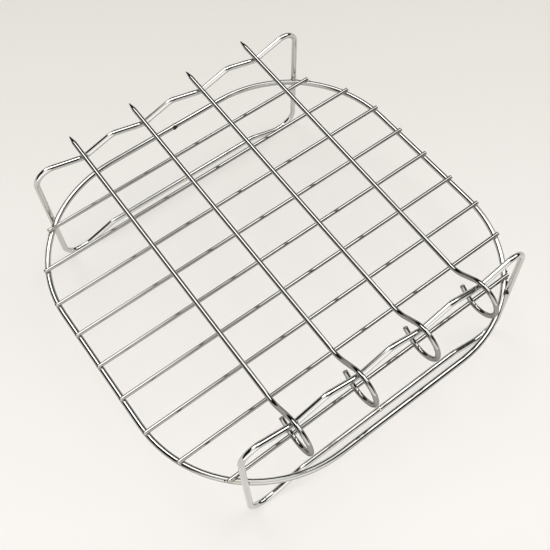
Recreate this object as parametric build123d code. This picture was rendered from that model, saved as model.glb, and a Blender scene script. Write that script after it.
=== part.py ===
from build123d import *
import os
from math import asin, atan, atan2, cos, degrees, hypot, radians, sin, sqrt

# Air fryer rack in round stainless wire, in millimetres.
# A rounded square rim carries a grid of cross wires, two looped supports stand on their own
# bottom bends, and four hooked skewers lie across the notches in the tops of the supports.
# X runs along the cross wires, Y along the skewers towards their points, Z up from the floor.
# The origin is on the floor under the middle of the rack.

# Wire diameters
RIM_WIRE = 3.0
CROSS_WIRE = 2.1
SUPPORT_WIRE = 3.0
SKEWER_WIRE = 2.4

# Welds: how far wires sink into the rim, and the bead where a loop is closed
CROSS_SINK = 0.4
SUPPORT_SINK = 0.7
BEAD_ROUND = 0.7
BEAD_PROUD = 0.2

# Rim, over the outside of its wire
RIM_WIDTH = 203.5
RIM_DEPTH = 200.5
RIM_CORNER = 65.75
RIM_HEIGHT = 39.1
RIM_BEAD_X = 5.8

# Grid: the end wires lie this far inside the supports, and the rest are spaced evenly between
CROSS_COUNT = 9
CROSS_INSET = 6.1

# Supports, over the outside of their wire; they lean inwards, turned about their welds
SUPPORT_WIDTH = 159.8
SUPPORT_LEAN = 1.7
NOTCH_COUNT = 4
NOTCH_EDGE = 28.0
NOTCH_HEIGHT = 72.8
TOOTH_RISE = 5.4
NOTCH_BEND = 3.0
TOOTH_BEND = 8.0
SHOULDER_BEND = 8.0
FOOT_BEND = 9.0
FOOT_LENGTH = 13.0
RAMP_RUN = 17.0
RAMP_BEND = 10.0
BAR_RISE = 6.0

# Skewers: bends are given on the wire's axis
REST_GAP = 0.05
TIP_OVERHANG = 12.5
TAPER_LENGTH = 4.5
TIP_WIRE = 0.6
SHAFT_DROP = 6.0
JOG_ANGLE = 35.0
JOG_BEND = 14.0
HOOK_RADIUS = 9.9
HOOK_FORWARD = 2.0
HOOK_END_ANGLE = 35.0
HOOK_END_LENGTH = 6.0

# Rim axis: half width, half depth and corner radius
rim_x = (RIM_WIDTH - RIM_WIRE) / 2
rim_y = (RIM_DEPTH - RIM_WIRE) / 2
rim_r = RIM_CORNER - RIM_WIRE / 2
corner_x = rim_x - rim_r
corner_y = rim_y - rim_r

# Supports stand outside the rim, and their upright sides are welded to its corners
side_x = (SUPPORT_WIDTH - SUPPORT_WIRE) / 2
weld_r = rim_r + (RIM_WIRE + SUPPORT_WIRE) / 2 - SUPPORT_SINK
support_y = corner_y + sqrt(weld_r**2 - (side_x - corner_x) ** 2)

# A leaning support's feet still rest on the floor
lean = radians(SUPPORT_LEAN)
floor_z = RIM_HEIGHT - (RIM_HEIGHT - SUPPORT_WIRE / 2) / cos(lean)

# Cross wires lie on top of the rim
cross_z = RIM_HEIGHT + (RIM_WIRE + CROSS_WIRE) / 2 - CROSS_SINK
cross_y = support_y - CROSS_INSET
cross_pitch = 2 * cross_y / (CROSS_COUNT - 1)

# Notches, spaced evenly along the top of a support; their bottoms as the supports lean
notch_pitch = (SUPPORT_WIDTH - 2 * NOTCH_EDGE) / (NOTCH_COUNT - 1)
notch_xs = [(i - (NOTCH_COUNT - 1) / 2) * notch_pitch for i in range(NOTCH_COUNT)]
notch_y = support_y - (NOTCH_HEIGHT - RIM_HEIGHT) * sin(lean)
notch_z = RIM_HEIGHT + (NOTCH_HEIGHT - RIM_HEIGHT) * cos(lean)


def rod(path, diameter):
    """Round wire along a path."""
    section = Plane(origin=path @ 0, z_dir=path % 0) * Circle(diameter / 2)
    return sweep(section, path=path)


def butt_bead(diameter):
    """Rounded bead where the two ends of a loop meet, on wire that runs along X."""
    return Rot(0, 90, 0) * Torus(diameter / 2 + BEAD_PROUD - BEAD_ROUND, BEAD_ROUND)


def make_rim():
    """Rounded square, closed by a butt weld in its rear side."""
    corners = [(rim_x, -rim_y), (rim_x, rim_y), (-rim_x, rim_y), (-rim_x, -rim_y)]
    ring = rod(FilletPolyline(*corners, radius=rim_r, close=True), RIM_WIRE)
    ring += Pos(RIM_BEAD_X, rim_y, 0) * butt_bead(RIM_WIRE)
    return Pos(0, 0, RIM_HEIGHT) * ring


def rim_reach(y):
    """Half the rim's outside width at a distance y from its middle."""
    into_corner = max(0.0, abs(y) - corner_y)
    return corner_x + sqrt(RIM_CORNER**2 - into_corner**2)


def make_cross_wire(y, rim):
    """Straight wire cut flush with the rim's outside and saddled on it at both ends."""
    bar = Rot(0, 90, 0) * Cylinder(CROSS_WIRE / 2, 2 * rim_reach(y))
    return Pos(0, y, cross_z) * bar - rim


def support_outline():
    """Corners of a support's axis in X and Z with the bend radius at each, once round the loop."""
    slope = TOOTH_RISE / (notch_pitch / 2)
    valley_z = NOTCH_HEIGHT - NOTCH_BEND * (1 / cos(atan(slope)) - 1)
    shoulder_z = valley_z + slope * (side_x + notch_xs[0])
    foot_x = side_x - FOOT_LENGTH
    foot = [
        (foot_x - RAMP_RUN, floor_z + BAR_RISE, RAMP_BEND),
        (foot_x, floor_z, RAMP_BEND),
        (side_x, floor_z, FOOT_BEND),
    ]
    top = [(-side_x, shoulder_z, SHOULDER_BEND)]
    for x in notch_xs[:-1]:
        top.append((x, valley_z, NOTCH_BEND))
        top.append((x + notch_pitch / 2, valley_z + TOOTH_RISE, TOOTH_BEND))
    top.append((notch_xs[-1], valley_z, NOTCH_BEND))
    top.append((side_x, shoulder_z, SHOULDER_BEND))
    left_foot = [(-x, z, bend) for x, z, bend in foot]
    return left_foot + top + foot[::-1]


def support_route():
    """Axis of a support in the plane Y = 0."""
    outline = support_outline()
    corners = [(x, 0, z) for x, z, bend in outline]
    bends = [bend for x, z, bend in outline]
    return FilletPolyline(*corners, radius=bends, close=True)


def make_support(side, rim):
    """Closed loop with notches in its top and two feet, closed by a butt weld in its bottom bar."""
    loop = rod(support_route(), SUPPORT_WIRE)
    loop += Pos(0, 0, floor_z + BAR_RISE) * butt_bead(SUPPORT_WIRE)
    weld = Pos(0, side * support_y, RIM_HEIGHT) * Rot(side * SUPPORT_LEAN, 0, 0)
    return weld * Pos(0, 0, -RIM_HEIGHT) * loop - rim


def arc(centre, radius, start, end):
    """Arc in the skewer's plane between two angles in degrees."""
    points = []
    for angle in (start, (start + end) / 2, end):
        a = radians(angle)
        points.append((0, centre[0] + radius * cos(a), centre[1] + radius * sin(a)))
    return ThreePointArc(*points)


def skewer_route():
    """Axis of a skewer from its taper to its hook's end, in the plane X = 0 with the notches at Z = 0."""
    contact = (SUPPORT_WIRE + SKEWER_WIRE) / 2 + REST_GAP
    # The hook's ring hangs on the front support, a little in front of it
    ring_reach = HOOK_RADIUS - contact
    ring_y = -notch_y - HOOK_FORWARD
    ring_z = -sqrt(ring_reach**2 - HOOK_FORWARD**2)
    # The jog leaves the ring as a tangent and runs down to the shaft
    jog = radians(JOG_ANGLE)
    jog_top = (ring_y + HOOK_RADIUS * sin(jog), ring_z + HOOK_RADIUS * cos(jog))
    jog_run = (jog_top[1] + SHAFT_DROP) / sin(jog)
    knee = (jog_top[0] + jog_run * cos(jog), -SHAFT_DROP)
    # The shaft rises from the knee until it lies on the rear support
    to_rear = (notch_y - knee[0], -knee[1])
    rise = atan2(to_rear[1], to_rear[0]) + asin(contact / hypot(*to_rear))
    along = (cos(rise), sin(rise))
    # The bend between shaft and jog
    turn = rise + jog
    trim = JOG_BEND * (1 - cos(turn)) / sin(turn)
    bend_start = (knee[0] + trim * along[0], knee[1] + trim * along[1])
    bend_centre = (bend_start[0] - JOG_BEND * along[1], bend_start[1] + JOG_BEND * along[0])
    shaft_length = (notch_y + TIP_OVERHANG - bend_start[0]) / along[0]
    tip = (bend_start[0] + shaft_length * along[0], bend_start[1] + shaft_length * along[1])
    taper_start = (tip[0] - TAPER_LENGTH * along[0], tip[1] - TAPER_LENGTH * along[1])
    shaft = Line((0, *taper_start), (0, *bend_start))
    low = degrees(rise) - 90
    bend = arc(bend_centre, JOG_BEND, low, low - degrees(turn))
    # The ring runs over the front, round the bottom and out to a straight free end
    ring = arc((ring_y, ring_z), HOOK_RADIUS, 90 - JOG_ANGLE, 270 + HOOK_END_ANGLE)
    climb = Line(bend @ 1, ring @ 0)
    end = Line(ring @ 1, ring @ 1 + HOOK_END_LENGTH * (ring % 1))
    return Wire([stretch.edge() for stretch in (shaft, bend, climb, ring, end)])


def make_skewer():
    """Pointed wire along the skewer's route."""
    route = skewer_route()
    base = Plane(origin=route @ 0, z_dir=-(route % 0))
    point = Cone(SKEWER_WIRE / 2, TIP_WIRE / 2, TAPER_LENGTH, align=(Align.CENTER, Align.CENTER, Align.MIN))
    return rod(route, SKEWER_WIRE) + base * point


def main():
    """Writes one file for each piece."""
    rim = make_rim()
    pieces = {"rim_ring": rim}
    for i in range(CROSS_COUNT):
        pieces[f"cross_wire_{i + 1}"] = make_cross_wire(i * cross_pitch - cross_y, rim)
    pieces["front_support"] = make_support(-1, rim)
    pieces["rear_support"] = make_support(1, rim)
    skewer = make_skewer()
    for i, x in enumerate(notch_xs):
        pieces[f"skewer_{i + 1}"] = Pos(x, 0, notch_z) * skewer
    os.makedirs("parts", exist_ok=True)
    for name, shape in pieces.items():
        export_step(shape, f"parts/{name}.step")


main()
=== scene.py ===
import random
from math import asin, atan, atan2, cos, exp, pi, radians, sin, sqrt, tan

import bmesh
import bpy
from mathutils import Matrix, Vector, noise


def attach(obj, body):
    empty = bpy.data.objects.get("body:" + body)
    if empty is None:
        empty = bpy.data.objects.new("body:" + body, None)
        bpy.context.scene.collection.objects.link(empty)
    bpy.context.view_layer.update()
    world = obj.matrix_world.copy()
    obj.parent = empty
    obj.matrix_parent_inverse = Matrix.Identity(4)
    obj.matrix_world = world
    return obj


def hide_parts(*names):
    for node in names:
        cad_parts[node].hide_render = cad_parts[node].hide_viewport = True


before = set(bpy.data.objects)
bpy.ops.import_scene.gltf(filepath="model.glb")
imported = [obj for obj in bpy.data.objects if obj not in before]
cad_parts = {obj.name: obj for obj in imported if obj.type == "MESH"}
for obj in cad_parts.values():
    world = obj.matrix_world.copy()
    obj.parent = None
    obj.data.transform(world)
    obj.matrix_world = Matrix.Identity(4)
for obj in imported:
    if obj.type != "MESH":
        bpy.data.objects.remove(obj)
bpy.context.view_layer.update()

# Looks for an air fryer rack in polished stainless wire.
# Each wire is drawn again as a fine round tube on the solids' own axes, with its welds and cut ends.
# Lengths are in millimetres until a mesh is made.

MM = 0.001

# Wire diameters and welds, as in the solids
RIM_WIRE = 3.0
CROSS_WIRE = 2.1
SUPPORT_WIRE = 3.0
SKEWER_WIRE = 2.4
CROSS_SINK = 0.4
SUPPORT_SINK = 0.7
BEAD_PROUD = 0.2

# Rim and grid
RIM_WIDTH = 203.5
RIM_DEPTH = 200.5
RIM_CORNER = 65.75
RIM_HEIGHT = 39.1
RIM_BEAD_X = 5.8
CROSS_COUNT = 9
CROSS_INSET = 6.1

# Supports
SUPPORT_WIDTH = 159.8
SUPPORT_LEAN = 1.7
NOTCH_COUNT = 4
NOTCH_EDGE = 28.0
NOTCH_HEIGHT = 72.8
TOOTH_RISE = 5.4
NOTCH_BEND = 3.0
TOOTH_BEND = 8.0
SHOULDER_BEND = 8.0
FOOT_BEND = 9.0
FOOT_LENGTH = 13.0
RAMP_RUN = 17.0
RAMP_BEND = 10.0
BAR_RISE = 6.0

# Skewers
REST_GAP = 0.05
TIP_OVERHANG = 12.5
TAPER_LENGTH = 4.5
TIP_WIRE = 0.6
SHAFT_DROP = 6.0
JOG_ANGLE = 35.0
JOG_BEND = 14.0
HOOK_RADIUS = 9.9
HOOK_FORWARD = 2.0
HOOK_END_ANGLE = 35.0
HOOK_END_LENGTH = 6.0

# How finely the tubes are drawn, and how far they stay inside the solids
SIDES = 32
SKIN = 0.01
RUN_STEP = 2.0
ARC_STEP = radians(4)
TAPER_STEP = 0.5
BEAD_STEP = 0.12
SAME_PLACE = 1e-4

# Edges broken at a cut end, and the near-flat face inside them
CUT_EDGE = 0.22
CUT_HOLLOW = 0.02
CUT_ROUND = 0.3

# Weld flash, fillets and butt beads: half sizes, and heat marks from 0 for bare steel to 1 for scorched
FLASH = (1.2, 1.4, 0.5)
FLASH_MARK = 0.2
FILLET = (1.25, 1.0, 1.7)
FILLET_MARK = 0.4
FILLET_SEED = 41
BEAD_LENGTH = 1.1
BEAD_MARK = 0.15
BEAD_BURIED = 0.03
BEAD_RIPPLE = 0.25
BEAD_WAVES = 4
HEAT_REACH = 2.4
HEAT_MARK = 0.2

# How uneven the lumps of weld metal are
LUMP_ROUGH = 0.18
LUMP_WAVES = 1.9
LUMP_SHIFT = (7.3, 3.1, 0)
LUMP_DRAWN = 4

# Burnt burr on the inside of the rim's butt weld, from the middle of the weld
SCORCH = (1.6, 1.0, 1.2)
SCORCH_PLACE = (-0.7, -1.0, 0.4)
SCORCH_MARK = 1.0
SCORCH_ROUGH = 0.4
SCORCH_SEED = 3

# Spatter round the welds of the supports; every third bead is on the upright
SPATTER = {
    "front_support": (dict(count=3, size=0.4), dict(count=10, size=0.95)),
    "rear_support": (dict(count=2, size=0.3), dict(count=4, size=0.45)),
}
SPATTER_MARK = 1.0
SPATTER_ROUGH = 0.35
SPATTER_DETAIL = 2
SPATTER_SIZES = (0.6, 1.0)
UPRIGHT_EVERY = 3
UPRIGHT_HEIGHTS = (0.0, 3.0)
UPRIGHT_TURNS = (0.9, 1.5)
RIM_TURNS = (-0.16, 0.03)
RIM_TILTS = (0.3, 1.0)

# Axes worked out from the sizes
rim_x = (RIM_WIDTH - RIM_WIRE) / 2
rim_y = (RIM_DEPTH - RIM_WIRE) / 2
rim_r = RIM_CORNER - RIM_WIRE / 2
corner_x = rim_x - rim_r
corner_y = rim_y - rim_r
side_x = (SUPPORT_WIDTH - SUPPORT_WIRE) / 2
weld_r = rim_r + (RIM_WIRE + SUPPORT_WIRE) / 2 - SUPPORT_SINK
support_y = corner_y + sqrt(weld_r**2 - (side_x - corner_x) ** 2)
lean = radians(SUPPORT_LEAN)
floor_z = RIM_HEIGHT - (RIM_HEIGHT - SUPPORT_WIRE / 2) / cos(lean)
cross_z = RIM_HEIGHT + (RIM_WIRE + CROSS_WIRE) / 2 - CROSS_SINK
cross_y = support_y - CROSS_INSET
cross_pitch = 2 * cross_y / (CROSS_COUNT - 1)
notch_pitch = (SUPPORT_WIDTH - 2 * NOTCH_EDGE) / (NOTCH_COUNT - 1)
notch_xs = [(i - (NOTCH_COUNT - 1) / 2) * notch_pitch for i in range(NOTCH_COUNT)]
notch_y = support_y - (NOTCH_HEIGHT - RIM_HEIGHT) * sin(lean)
notch_z = RIM_HEIGHT + (NOTCH_HEIGHT - RIM_HEIGHT) * cos(lean)


def line(start, end, step=RUN_STEP):
    """Points and directions along a straight run in a plane."""
    start, end = Vector(start), Vector(end)
    along = (end - start).normalized()
    count = max(1, round((end - start).length / step))
    return [(start.lerp(end, i / count), along) for i in range(count + 1)]


def arc(centre, radius, begin, end):
    """Points and directions along an arc in a plane, between two angles in radians."""
    count = max(2, round(abs(end - begin) / ARC_STEP))
    sense = 1 if end > begin else -1
    run = []
    for i in range(count + 1):
        a = begin + (end - begin) * i / count
        out = Vector((cos(a), sin(a)))
        run.append((Vector(centre) + radius * out, sense * Vector((-out.y, out.x))))
    return run


def joined(runs):
    """One path from several runs, without the points that two runs share."""
    path = []
    for run in runs:
        for point, along in run:
            if not path or (point - path[-1][0]).length > SAME_PLACE:
                path.append((point, along))
    return path


def bent_loop(corners):
    """Closed path of straight runs joined by bends; each corner is a place and a bend radius."""
    count = len(corners)
    bends = []
    for i, (here, radius) in enumerate(corners):
        here = Vector(here)
        into = (here - Vector(corners[i - 1][0])).normalized()
        out = (Vector(corners[(i + 1) % count][0]) - here).normalized()
        turn = atan2(into.x * out.y - into.y * out.x, into.dot(out))
        start = here - into * radius * tan(abs(turn) / 2)
        side = 1 if turn > 0 else -1
        centre = start + side * radius * Vector((-into.y, into.x))
        begin = atan2(start.y - centre.y, start.x - centre.x)
        bends.append(arc(centre, radius, begin, begin + turn))
    runs = []
    for i, bend in enumerate(bends):
        runs.append(bend)
        runs.append(line(bend[-1][0], bends[(i + 1) % count][0][0]))
    path = joined(runs)
    path.pop()
    return path


class Shape:
    """The tubes and weld lumps of one piece, in millimetres."""

    def __init__(self):
        self.points = []
        self.faces = []
        self.drawn = []
        self.lump = []

    def add(self, place, drawn, lump):
        self.points.append(place)
        self.drawn.append(drawn)
        self.lump.append(lump)
        return len(self.points) - 1

    def tube(self, path, radii, to_space, normal, closed=False, lump=0.0):
        """Rings along a flat path; a ring of no radius is a single point."""
        normal = Vector(normal)
        radii = [max(0.0, radius - SKIN) for radius in radii]
        rings = []
        length = 0.0
        before = path[0][0]
        for (point, along), radius in zip(path, radii):
            length += (point - before).length
            before = point
            centre = to_space(point)
            across = normal.cross(to_space(point + along) - centre)
            if radius == 0:
                rings.append([self.add(centre, Vector((length, 0, 0)), lump)])
                continue
            ring = []
            for k in range(SIDES):
                a = 2 * pi * k / SIDES
                place = centre + radius * (cos(a) * across + sin(a) * normal)
                ring.append(self.add(place, Vector((length, cos(a), sin(a))), lump))
            rings.append(ring)
        if closed:
            rings.append(rings[0])
        for low, high in zip(rings, rings[1:]):
            self.bridge(low, high)

    def bridge(self, low, high):
        """Faces between two rings."""
        for k in range(SIDES):
            m = (k + 1) % SIDES
            if len(low) == 1:
                self.faces.append((low[0], high[m], high[k]))
            elif len(high) == 1:
                self.faces.append((low[k], low[m], high[0]))
            else:
                self.faces.append((low[k], low[m], high[m], high[k]))

    def blob(self, centre, size, mark, turn=0.0, rough=LUMP_ROUGH, seed=0, detail=3):
        """Uneven lump of weld metal, turned about the upright axis."""
        ball = bmesh.new()
        bmesh.ops.create_icosphere(ball, subdivisions=detail, radius=1)
        spin = Matrix.Rotation(turn, 3, "Z")
        shift = Vector([seed * along for along in LUMP_SHIFT])
        first = len(self.points)
        for v in ball.verts:
            swell = 1 + rough * noise.noise(v.co * LUMP_WAVES + shift)
            local = Vector((v.co.x * size[0], v.co.y * size[1], v.co.z * size[2])) * swell
            self.add(Vector(centre) + spin @ local, v.co * LUMP_DRAWN, mark)
        for f in ball.faces:
            self.faces.append(tuple(first + v.index for v in f.verts))
        ball.free()

    def piece(self, name, slot, welds):
        """Blender object for the node of this name, with heat marks near its welds."""
        mesh = bpy.data.meshes.new(name)
        mesh.from_pydata([p * MM for p in self.points], [], self.faces)
        mesh.polygons.foreach_set("use_smooth", [True] * len(mesh.polygons))
        drawn = mesh.attributes.new("drawn", "FLOAT_VECTOR", "POINT")
        drawn.data.foreach_set("vector", [c for v in self.drawn for c in v])
        heat = mesh.attributes.new("weld_heat", "FLOAT", "POINT")
        marks = []
        for place, lump in zip(self.points, self.lump):
            near = max((exp(-((place - w).length / HEAT_REACH) ** 2) for w in welds), default=0.0)
            marks.append(max(near * HEAT_MARK, lump))
        heat.data.foreach_set("value", marks)
        mesh.update()
        piece = bpy.data.objects.new(name + "_wire", mesh)
        bpy.context.collection.objects.link(piece)
        piece.data.materials.append(steel[slot])
        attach(piece, "root")
        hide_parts(name)


def node_chain(material):
    """Short way to add nodes to a material and link them."""
    nodes, links = material.node_tree.nodes, material.node_tree.links

    def make(kind, inputs=None, **settings):
        made = nodes.new(kind)
        for key, value in settings.items():
            setattr(made, key, value)
        for key, value in (inputs or {}).items():
            if isinstance(value, bpy.types.NodeSocket):
                links.new(value, made.inputs[key])
            else:
                made.inputs[key].default_value = value
        return made

    return make, nodes, links


# Polished steel: draw lines along the wire, smears in the polish, fine pits, and marks left by welding
DRAW_STRETCH = (0.035, 7.0, 7.0)
DRAW_DARK = 0.9
SMEAR_SCALE = 90.0
PIT_SCALE = 2600.0
RELIEF = 0.00002
DULL_SHARE = 0.4
STRAW = (0.86, 0.79, 0.68, 1)
SCALE = (0.05, 0.045, 0.04, 1)
STRAW_AT = 0.35
SCALE_FROM = 0.45
SCALE_AT = 0.75


def make_steel(name, colour, gloss, edge):
    """Drawn wire of one colour and roughness; edge is how far it whitens at grazing angles."""
    material = bpy.data.materials.new(name)
    material.use_nodes = True
    make, nodes, links = node_chain(material)
    shader = nodes["Principled BSDF"]
    drawn = make("ShaderNodeAttribute", attribute_name="drawn").outputs["Vector"]
    heat = make("ShaderNodeAttribute", attribute_name="weld_heat").outputs["Fac"]
    place = make("ShaderNodeTexCoord").outputs["Object"]
    shader.inputs["Specular IOR Level"].default_value = 0.15
    shader.inputs["Specular Tint"].default_value = (edge, edge, edge, 1)
    # Draw lines run along the wire
    stretch = make("ShaderNodeVectorMath", {0: drawn, 1: DRAW_STRETCH}, operation="MULTIPLY")
    lines = make("ShaderNodeTexNoise", {"Vector": stretch.outputs[0], "Scale": 1.0, "Detail": 4.0})
    # Smears in the polish, and fine pits
    smear = make("ShaderNodeTexNoise", {"Vector": place, "Scale": SMEAR_SCALE, "Detail": 3.0})
    pits = make("ShaderNodeTexNoise", {"Vector": place, "Scale": PIT_SCALE, "Detail": 2.0})
    # Weld marks are broken up by the smears
    patchy = make("ShaderNodeMapRange", {"Value": smear.outputs["Fac"], "From Min": 0.3, "From Max": 0.7,
                                         "To Min": 0.8, "To Max": 1.0})
    mark = make("ShaderNodeMath", {0: heat, 1: patchy.outputs[0]}, operation="MULTIPLY")
    tone = make("ShaderNodeValToRGB", {"Fac": lines.outputs["Fac"]})
    tone.color_ramp.elements[0].position = 0.3
    tone.color_ramp.elements[1].position = 0.7
    tone.color_ramp.elements[0].color = (*[c * DRAW_DARK for c in colour], 1)
    tone.color_ramp.elements[1].color = (*colour, 1)
    tint = make("ShaderNodeValToRGB", {"Fac": mark.outputs[0]})
    tint.color_ramp.elements[0].color = (1, 1, 1, 1)
    tint.color_ramp.elements[1].color = SCALE
    tint.color_ramp.elements[1].position = SCALE_AT
    straw = tint.color_ramp.elements.new(STRAW_AT)
    straw.color = STRAW
    base = make("ShaderNodeMix", data_type="RGBA", blend_type="MULTIPLY")
    base.inputs["Factor"].default_value = 1.0
    links.new(tone.outputs["Color"], base.inputs["A"])
    links.new(tint.outputs["Color"], base.inputs["B"])
    links.new(base.outputs["Result"], shader.inputs["Base Color"])
    shine = make("ShaderNodeMapRange", {"Value": smear.outputs["Fac"], "From Min": 0.25, "From Max": 0.75,
                                        "To Min": gloss * 0.7, "To Max": gloss * 1.35})
    dull = make("ShaderNodeMath", {0: mark.outputs[0], 1: DULL_SHARE, 2: shine.outputs[0]},
                operation="MULTIPLY_ADD")
    links.new(dull.outputs[0], shader.inputs["Roughness"])
    # Scorched weld metal is black scale, not bare steel
    bare = make("ShaderNodeMapRange", {"Value": mark.outputs[0], "From Min": SCALE_FROM,
                                       "From Max": SCALE_AT, "To Min": 1.0, "To Max": 0.1})
    links.new(bare.outputs[0], shader.inputs["Metallic"])
    ridges = make("ShaderNodeBump", {"Height": lines.outputs["Fac"], "Strength": 0.12, "Distance": RELIEF})
    grain = make("ShaderNodeBump", {"Height": pits.outputs["Fac"], "Strength": 0.06, "Distance": RELIEF,
                                    "Normal": ridges.outputs["Normal"]})
    links.new(grain.outputs["Normal"], shader.inputs["Normal"])
    return material


# Lit and shaded copies of one steel: each part's colour is set apart to match how bright it looks under
# these lights, and the support's lighter colour is a painted reflection of the pale floor on its uprights
steel = {
    "rim_steel": make_steel("rim_steel_polished", (0.48, 0.479, 0.462), 0.06, 1.0),
    "cross_wire_steel": make_steel("cross_wire_steel_polished", (0.4, 0.399, 0.385), 0.07, 0.5),
    "support_steel": make_steel("support_steel_polished", (0.64, 0.639, 0.62), 0.09, 1.0),
    "skewer_steel": make_steel("skewer_steel_polished", (0.37, 0.369, 0.356), 0.05, 0.5),
}


def cut_ends(path, radius, first=True, last=True):
    """Path and radii of an open wire whose cut ends have their edges broken."""
    radii = [radius] * len(path)
    broken = CUT_ROUND * CUT_EDGE
    profile = [(0.0, 0.0), (CUT_HOLLOW, radius - CUT_EDGE), (broken, radius - broken), (CUT_EDGE, radius)]
    if first:
        point, along = path[0]
        path = [(point + d * along, along) for d, r in profile] + path[1:]
        radii = [r for d, r in profile] + radii[1:]
    if last:
        point, along = path[-1]
        path = path[:-1] + [(point - d * along, along) for d, r in profile[::-1]]
        radii = radii[:-1] + [r for d, r in profile[::-1]]
    return path, radii


def bead(shape, centre_x, radius, to_space, normal):
    """Upset bead of a butt weld, on wire that runs along X."""
    path = line((centre_x - BEAD_LENGTH, 0), (centre_x + BEAD_LENGTH, 0), BEAD_STEP)
    radii = []
    for point, along in path:
        d = (point.x - centre_x) / BEAD_LENGTH
        ripple = BEAD_RIPPLE * noise.noise(Vector((d * BEAD_WAVES, centre_x, 0)))
        swell = max(0.0, cos(pi * d / 2)) ** 2 * (1 - abs(ripple))
        radii.append(radius - BEAD_BURIED + (BEAD_PROUD + BEAD_BURIED) * swell)
    shape.tube(path, radii, to_space, normal, lump=BEAD_MARK)


def rim_axis_reach(y):
    """Half the width of the rim's axis at a distance y from its middle."""
    into_corner = max(0.0, abs(y) - corner_y)
    return corner_x + sqrt(rim_r**2 - into_corner**2)


def support_welds(face):
    """Left and right places where the front (-1) or rear (1) support touches the rim."""
    part = (rim_r + (RIM_WIRE - SUPPORT_SINK) / 2) / weld_r
    along = corner_x + part * (side_x - corner_x)
    deep = corner_y + part * (support_y - corner_y)
    return [Vector((side * along, face * deep, RIM_HEIGHT)) for side in (-1, 1)]


def cross_welds(y):
    """Places where a cross wire touches the rim."""
    top = RIM_HEIGHT + (RIM_WIRE - CROSS_SINK) / 2
    return [Vector((side * rim_axis_reach(y), y, top)) for side in (-1, 1)]


cross_ys = [i * cross_pitch - cross_y for i in range(CROSS_COUNT)]


def make_rim():
    """Rounded square with its butt weld in the rear side."""
    shape = Shape()
    places = [(rim_x, -rim_y), (rim_x, rim_y), (-rim_x, rim_y), (-rim_x, -rim_y)]
    path = bent_loop([(place, rim_r) for place in places])
    radii = [RIM_WIRE / 2] * len(path)
    shape.tube(path, radii, lambda p: Vector((p.x, p.y, RIM_HEIGHT)), (0, 0, 1), closed=True)
    bead(shape, RIM_BEAD_X, RIM_WIRE / 2, lambda p: Vector((p.x, rim_y, RIM_HEIGHT)), (0, 0, 1))
    butt = Vector((RIM_BEAD_X, rim_y, RIM_HEIGHT))
    shape.blob(butt + Vector(SCORCH_PLACE), SCORCH, SCORCH_MARK, rough=SCORCH_ROUGH, seed=SCORCH_SEED)
    welds = [butt]
    for y in cross_ys:
        welds += cross_welds(y)
    for face in (-1, 1):
        welds += support_welds(face)
    shape.piece("rim_ring", "rim_steel", welds)


def make_cross_wire(number, y):
    """Straight wire with flash squeezed out at its two welds."""
    shape = Shape()
    welds = cross_welds(y)
    half = corner_x + sqrt(RIM_CORNER**2 - max(0.0, abs(y) - corner_y) ** 2)
    path, radii = cut_ends(line((-half, 0), (half, 0)), CROSS_WIRE / 2)
    shape.tube(path, radii, lambda p: Vector((p.x, y, cross_z)), (0, 0, 1))
    for k, place in enumerate(welds):
        turn = atan2(max(0.0, abs(y) - corner_y), abs(place.x) - corner_x)
        turn *= 1 if place.x * y > 0 else -1
        shape.blob(place, FLASH, FLASH_MARK, turn, seed=number * 2 + k)
    shape.piece(f"cross_wire_{number}", "cross_wire_steel", welds)


def support_corners():
    """Corners and bends of a support's axis, once round the loop."""
    slope = TOOTH_RISE / (notch_pitch / 2)
    valley_z = NOTCH_HEIGHT - NOTCH_BEND * (1 / cos(atan(slope)) - 1)
    shoulder_z = valley_z + slope * (side_x + notch_xs[0])
    foot_x = side_x - FOOT_LENGTH
    foot = [
        ((foot_x - RAMP_RUN, floor_z + BAR_RISE), RAMP_BEND),
        ((foot_x, floor_z), RAMP_BEND),
        ((side_x, floor_z), FOOT_BEND),
    ]
    top = [((-side_x, shoulder_z), SHOULDER_BEND)]
    for x in notch_xs[:-1]:
        top.append(((x, valley_z), NOTCH_BEND))
        top.append(((x + notch_pitch / 2, valley_z + TOOTH_RISE), TOOTH_BEND))
    top.append(((notch_xs[-1], valley_z), NOTCH_BEND))
    top.append(((side_x, shoulder_z), SHOULDER_BEND))
    left_foot = [((-x, z), bend) for (x, z), bend in foot]
    return left_foot + top + foot[::-1]


def leaning(face, x, height):
    """Place on a support's leaning plane at a height measured along it."""
    rise = height - RIM_HEIGHT
    return Vector((x, face * (support_y - rise * sin(lean)), RIM_HEIGHT + rise * cos(lean)))


def make_support(name, face):
    """Looped support with its butt weld, its two welds to the rim and the spatter round them."""
    shape = Shape()
    path = bent_loop(support_corners())
    normal = (0, cos(lean), face * sin(lean))
    shape.tube(path, [SUPPORT_WIRE / 2] * len(path), lambda p: leaning(face, p.x, p.y), normal, closed=True)
    bar_z = floor_z + BAR_RISE
    bead(shape, 0.0, SUPPORT_WIRE / 2, lambda p: leaning(face, p.x, bar_z + p.y), normal)
    welds = support_welds(face)
    for k, place in enumerate(welds):
        turn = atan2(place.y, place.x) + pi / 2
        shape.blob(place, FILLET, FILLET_MARK, turn, seed=FILLET_SEED + k + face)
        spatter(shape, face, 2 * k - 1, **SPATTER[name][k])
    shape.piece(name, "support_steel", welds + [leaning(face, 0, bar_z)])


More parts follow.
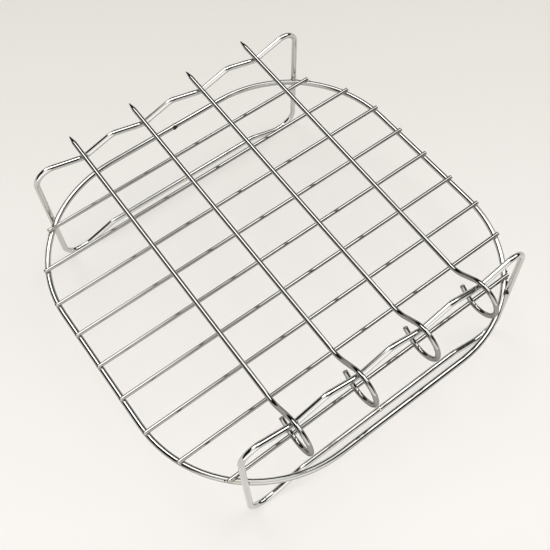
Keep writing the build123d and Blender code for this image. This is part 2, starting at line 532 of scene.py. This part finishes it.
def spatter(shape, face, side, count, size):
    """Beads of weld metal stuck along the rim's outside and on the upright wire near a weld."""
    pick = random.Random(f"{face} {side}")
    weld_angle = atan2(support_y - corner_y, side_x - corner_x)
    inward = atan2(-face * sin(weld_angle), -side * cos(weld_angle))
    for k in range(count):
        r = size * pick.uniform(*SPATTER_SIZES)
        if (k + 1) % UPRIGHT_EVERY == 0:
            middle = leaning(face, side * side_x, RIM_HEIGHT + pick.uniform(*UPRIGHT_HEIGHTS))
            a = inward + pick.choice((-1, 1)) * pick.uniform(*UPRIGHT_TURNS)
            out = Vector((cos(a), sin(a), 0)) * SUPPORT_WIRE / 2
        else:
            a = weld_angle + pick.uniform(*RIM_TURNS)
            outward = Vector((side * cos(a), face * sin(a), 0))
            middle = Vector((side * corner_x, face * corner_y, RIM_HEIGHT)) + rim_r * outward
            tilt = pick.uniform(*RIM_TILTS)
            out = (outward * cos(tilt) + Vector((0, 0, sin(tilt)))) * RIM_WIRE / 2
        shape.blob(middle + out, (r, r, r), SPATTER_MARK, rough=SPATTER_ROUGH, seed=k,
                   detail=SPATTER_DETAIL)


def skewer_path():
    """Axis of a skewer from its point to its hook's end, as in the solids."""
    contact = (SUPPORT_WIRE + SKEWER_WIRE) / 2 + REST_GAP
    ring_reach = HOOK_RADIUS - contact
    ring = Vector((-notch_y - HOOK_FORWARD, -sqrt(ring_reach**2 - HOOK_FORWARD**2)))
    jog = radians(JOG_ANGLE)
    jog_top = ring + HOOK_RADIUS * Vector((sin(jog), cos(jog)))
    jog_run = (jog_top.y + SHAFT_DROP) / sin(jog)
    knee = Vector((jog_top.x + jog_run * cos(jog), -SHAFT_DROP))
    to_rear = Vector((notch_y, 0)) - knee
    rise = atan2(to_rear.y, to_rear.x) + asin(contact / to_rear.length)
    along = Vector((cos(rise), sin(rise)))
    turn = rise + jog
    trim = JOG_BEND * tan(turn / 2)
    bend_start = knee + trim * along
    bend_centre = bend_start + JOG_BEND * Vector((-along.y, along.x))
    tip = bend_start + along * (notch_y + TIP_OVERHANG - bend_start.x) / along.x
    taper_start = tip - TAPER_LENGTH * along
    low = rise - pi / 2
    bend = arc(bend_centre, JOG_BEND, low, low - turn)
    hook = arc(ring, HOOK_RADIUS, pi / 2 - jog, 3 * pi / 2 + radians(HOOK_END_ANGLE))
    end_point, end_along = hook[-1]
    runs = [
        line(tip, taper_start, TAPER_STEP),
        line(taper_start, bend_start),
        bend,
        line(bend[-1][0], hook[0][0]),
        hook,
        line(end_point, end_point + HOOK_END_LENGTH * end_along),
    ]
    return joined(runs)


def make_skewer(number, x):
    """Pointed wire with a jog and a hook."""
    shape = Shape()
    path, radii = cut_ends(skewer_path(), SKEWER_WIRE / 2, first=False)
    tip = path[0][0]
    for i, (point, along) in enumerate(path):
        far = (point - tip).length
        if far < TAPER_LENGTH and radii[i] > 0:
            radii[i] = (TIP_WIRE + (SKEWER_WIRE - TIP_WIRE) * far / TAPER_LENGTH) / 2
    path = [path[0]] + path
    radii = [0.0] + radii
    shape.tube(path, radii, lambda p: Vector((x, p.x, notch_z + p.y)), (1, 0, 0))
    shape.piece(f"skewer_{number}", "skewer_steel", [])


make_rim()
for i, y in enumerate(cross_ys):
    make_cross_wire(i + 1, y)
make_support("front_support", -1)
make_support("rear_support", 1)
for i, x in enumerate(notch_xs):
    make_skewer(i + 1, x)

# Floor: pale and matt, with painted shade that darkens it a little towards the rear right; lengths in
# metres
FLOOR_REACH = 4.0
FLOOR_GLOW = 0.65
FLOOR_AWAY = (0.55, 0.835, 0)
FLOOR_SHADE_FADE = (-0.12, 0.30)
FLOOR_NEAR = (0.945, 0.915, 0.885, 1)
FLOOR_FAR_PAINTED_SHADE = (0.725, 0.7, 0.655, 1)


def make_floor():
    """Wide pale floor under the feet."""
    mesh = bpy.data.meshes.new("floor")
    net = bmesh.new()
    bmesh.ops.create_grid(net, x_segments=8, y_segments=8, size=FLOOR_REACH)
    net.to_mesh(mesh)
    net.free()
    floor = bpy.data.objects.new("floor", mesh)
    bpy.context.collection.objects.link(floor)
    material = bpy.data.materials.new("floor_paper")
    material.use_nodes = True
    make, nodes, links = node_chain(material)
    nodes.remove(nodes["Principled BSDF"])
    place = make("ShaderNodeTexCoord").outputs["Object"]
    # Painted shade: the colour fades from the near tone to a darker far tone towards the rear right,
    # standing in for the light falling off there
    away = make("ShaderNodeVectorMath", {0: place, 1: FLOOR_AWAY}, operation="DOT_PRODUCT")
    shade_fade = make("ShaderNodeMapRange", {"Value": away.outputs["Value"], "From Min": FLOOR_SHADE_FADE[0],
                                       "From Max": FLOOR_SHADE_FADE[1]})
    tone = make("ShaderNodeValToRGB", {"Fac": shade_fade.outputs[0]})
    tone.color_ramp.elements[0].color = FLOOR_NEAR
    tone.color_ramp.elements[1].color = FLOOR_FAR_PAINTED_SHADE
    matt = make("ShaderNodeBsdfDiffuse", {"Color": tone.outputs["Color"]})
    glow = make("ShaderNodeEmission", {"Color": tone.outputs["Color"]})
    path = make("ShaderNodeLightPath")
    glossy, through = path.outputs["Is Glossy Ray"], path.outputs["Is Transmission Ray"]
    shiny = make("ShaderNodeMath", {0: glossy, 1: through}, operation="ADD")
    seen = make("ShaderNodeMath", {0: path.outputs["Is Camera Ray"], 1: shiny.outputs[0]},
                operation="ADD", use_clamp=True)
    share = make("ShaderNodeMath", {0: seen.outputs[0], 1: FLOOR_GLOW}, operation="MULTIPLY")
    blend = make("ShaderNodeMixShader", {0: share.outputs[0], 1: matt.outputs[0], 2: glow.outputs[0]})
    links.new(blend.outputs[0], nodes["Material Output"].inputs["Surface"])
    mesh.materials.append(material)


# Studio: two strip lights that run up from the right and from the rear, round lights on the
# viewer's side, and dark between them. Azimuths run from +X towards +Y; angles are in degrees.
STRIP_LIGHTS = {
    "right": dict(azimuth=0, half_width=14, low=34, high=76, level=3.7),
    "rear": dict(azimuth=94, half_width=9, low=46, high=75.5, level=4.7),
}
ROUND_LIGHTS = {
    "front": dict(azimuth=241, height=12, reach=41, level=1.5),
    "front_high": dict(azimuth=229, height=75, reach=14, level=1.5),
}
STRIP_EDGE = 4.0
ROUND_EDGE = 8.0
HORIZON_TOP = 5.0
HORIZON_EDGE = 4.0
HORIZON_LEVEL = 0.9
ROOM_LEVEL = 0.01
LIGHT_COLOUR = (1.0, 0.985, 0.965, 1)


def make_world():
    """Soft lights round the rack, a pale horizon, and dark between them."""
    world = bpy.data.worlds.new("studio")
    world.use_nodes = True
    bpy.context.scene.world = world
    make, nodes, links = node_chain(world)
    sky = nodes["Background"]
    direction = make("ShaderNodeTexCoord").outputs["Generated"]

    def towards(azimuth, height):
        """How nearly the ray points one way, as a cosine."""
        a, h = radians(azimuth), radians(height)
        way = (cos(a) * cos(h), sin(a) * cos(h), sin(h))
        nearness = make("ShaderNodeVectorMath", {0: direction, 1: way}, operation="DOT_PRODUCT")
        return nearness.outputs["Value"]

    def step(value, start, end, low=0.0, high=1.0):
        """Soft step from low to high as the value goes from start to end."""
        limits = {"Value": value, "From Min": start, "From Max": end, "To Min": low, "To Max": high}
        return make("ShaderNodeMapRange", limits, interpolation_type="SMOOTHSTEP").outputs[0]

    def combine(operation, one, other):
        """Sum or product of two values."""
        return make("ShaderNodeMath", {0: one, 1: other}, operation=operation).outputs[0]

    up = make("ShaderNodeSeparateXYZ", {0: direction}).outputs["Z"]
    dark_from, pale_to = sin(radians(HORIZON_TOP + HORIZON_EDGE)), sin(radians(HORIZON_TOP))
    total = step(up, dark_from, pale_to, ROOM_LEVEL, HORIZON_LEVEL)
    for light in STRIP_LIGHTS.values():
        along = towards(light["azimuth"], 0)
        sideways = towards(light["azimuth"] + 90, 0)
        across = make("ShaderNodeMath", {0: sideways}, operation="ABSOLUTE").outputs[0]
        half, low, high = light["half_width"], light["low"], light["high"]
        edge_out, edge_in = sin(radians(half + STRIP_EDGE)), sin(radians(half - STRIP_EDGE))
        strip = step(across, edge_out, edge_in, 0, light["level"])
        bottom = step(along, cos(radians(low - STRIP_EDGE)), cos(radians(low + STRIP_EDGE)))
        top = step(along, cos(radians(high + STRIP_EDGE)), cos(radians(high - STRIP_EDGE)))
        total = combine("ADD", total, combine("MULTIPLY", strip, combine("MULTIPLY", bottom, top)))
    for light in ROUND_LIGHTS.values():
        near = towards(light["azimuth"], light["height"])
        reach = light["reach"]
        edge_out, edge_in = cos(radians(reach + ROUND_EDGE)), cos(radians(reach - ROUND_EDGE))
        total = combine("ADD", total, step(near, edge_out, edge_in, 0, light["level"]))
    links.new(total, sky.inputs["Strength"])
    sky.inputs["Color"].default_value = LIGHT_COLOUR


# Key lamp; lengths in metres
KEY_AZIMUTH = 63.0
KEY_HEIGHT = 72.0
KEY_DISTANCE = 2.0
KEY_SIZE = 1.5
KEY_POWER = 9.15


def add_key():
    """Round soft lamp, high on the right and behind the rack."""
    data = bpy.data.lights.new("key", "AREA")
    data.shape = "DISK"
    data.size = KEY_SIZE
    data.energy = KEY_POWER
    lamp = bpy.data.objects.new("key", data)
    bpy.context.collection.objects.link(lamp)
    a, h = radians(KEY_AZIMUTH), radians(KEY_HEIGHT)
    lamp.location = KEY_DISTANCE * Vector((cos(a) * cos(h), sin(a) * cos(h), sin(h)))
    lamp.rotation_euler = (-lamp.location).to_track_quat("-Z", "Y").to_euler()


# Camera at the photograph's viewing angle
CAMERA_AZIMUTH = -34.842
CAMERA_HEIGHT_ANGLE = 59.397
CAMERA_ROLL = -2.201
CAMERA_DISTANCE = 419.646
CAMERA_AIM = (3.409, 2.871, cross_z)
CAMERA_LENS = 54.723
CAMERA_SENSOR = 36.0
CAMERA_SHIFT = -30 / 550
CAMERA_NEAR = 0.01


def make_camera():
    """Camera that looks down on the rack from the front left."""
    az, el, roll = radians(CAMERA_AZIMUTH), radians(CAMERA_HEIGHT_ANGLE), radians(CAMERA_ROLL)
    back = Vector((sin(az) * cos(el), -cos(az) * cos(el), sin(el)))
    right = Vector((0, 0, 1)).cross(back).normalized()
    up = back.cross(right)
    right, up = cos(roll) * right + sin(roll) * up, cos(roll) * up - sin(roll) * right
    data = bpy.data.cameras.new("camera")
    data.sensor_width = CAMERA_SENSOR
    data.lens = CAMERA_LENS
    data.shift_y = CAMERA_SHIFT
    data.clip_start = CAMERA_NEAR
    camera = bpy.data.objects.new("camera", data)
    bpy.context.collection.objects.link(camera)
    place = (Vector(CAMERA_AIM) + back * CAMERA_DISTANCE) * MM
    turn = Matrix((right, up, back)).transposed().to_4x4()
    camera.matrix_world = Matrix.Translation(place) @ turn
    bpy.context.scene.camera = camera


make_floor()
make_world()
add_key()
make_camera()
bpy.context.scene.view_settings.view_transform = "Standard"
